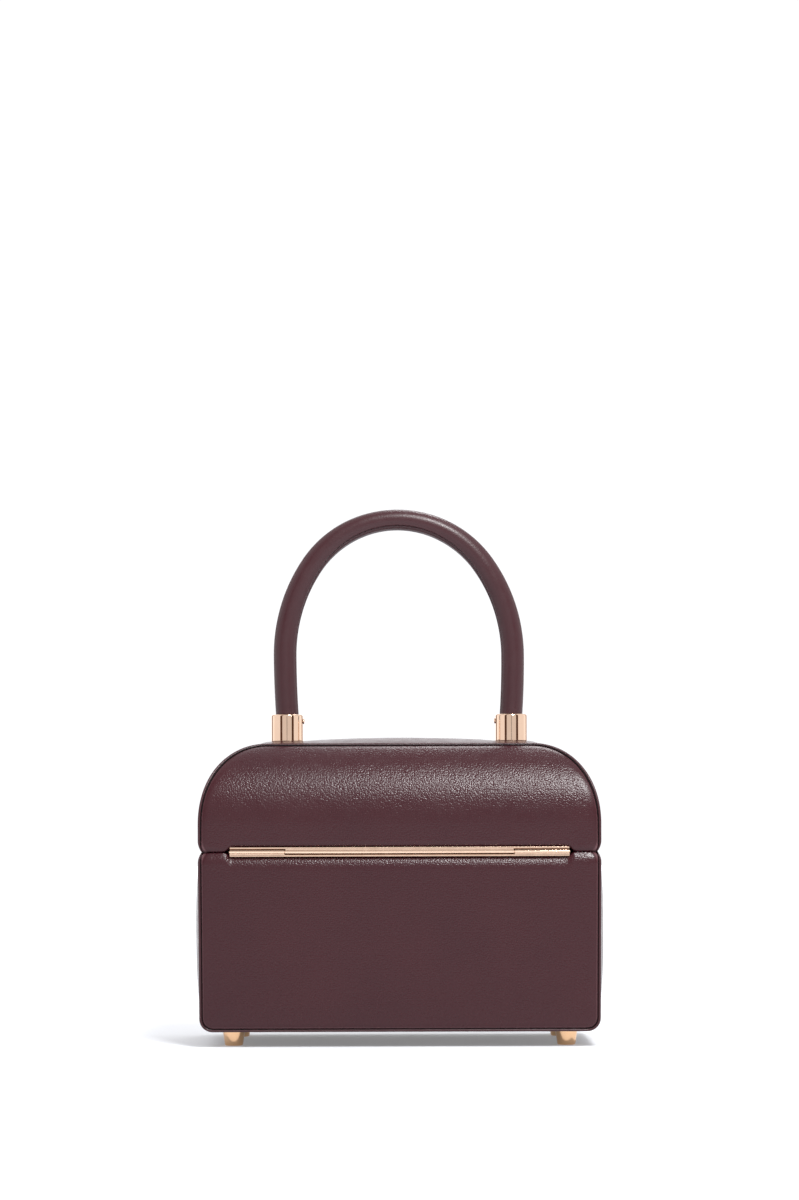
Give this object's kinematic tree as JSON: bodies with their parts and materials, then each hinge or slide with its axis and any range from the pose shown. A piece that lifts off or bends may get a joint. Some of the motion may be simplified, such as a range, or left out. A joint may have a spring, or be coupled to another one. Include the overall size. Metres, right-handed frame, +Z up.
{
  "type": "box handbag",
  "caption": "Small rigid leather box handbag on metal feet, with a domed lid on a piano hinge and a stiff arched handle on the lid.",
  "frame": {"origin": "on the floor, midway between the four feet", "axes": "+Z up, the hinged back faces -Y and the clasp faces +Y, +X on the right of someone looking at the back"},
  "size_m": [0.1868, 0.092, 0.2465],
  "materials": {
    "burgundy_leather": "smooth, fine grain, low sheen",
    "rose_gold_hardware": "polished rose gold plating"
  },
  "bodies": {
    "box": {"box_back_panel": "burgundy_leather", "box_front_panel": "burgundy_leather", "box_gusset": "burgundy_leather", "box_back_piping": "burgundy_leather", "box_front_piping": "burgundy_leather", "foot_back_left": "rose_gold_hardware", "foot_back_right": "rose_gold_hardware", "foot_front_left": "rose_gold_hardware", "foot_front_right": "rose_gold_hardware", "hinge_box_leaf": "rose_gold_hardware", "hinge_pin": "rose_gold_hardware"},
    "lid": {"lid_back_panel": "burgundy_leather", "lid_front_panel": "burgundy_leather", "lid_gusset": "burgundy_leather", "lid_back_piping": "burgundy_leather", "lid_front_piping": "burgundy_leather", "hinge_lid_leaf": "rose_gold_hardware", "handle": "burgundy_leather", "handle_sleeve_left": "rose_gold_hardware", "handle_sleeve_right": "rose_gold_hardware", "sleeve_screw_left": "rose_gold_hardware", "sleeve_screw_right": "rose_gold_hardware", "front_clasp": "rose_gold_hardware"}
  },
  "joints": [
    {"name": "lid_hinge", "type": "hinge", "parent": "box", "child": "lid", "pos_m": [0, -0.0449, 0.088], "axis": [1, 0, 0], "range_deg": [0, 100]}
  ]
}
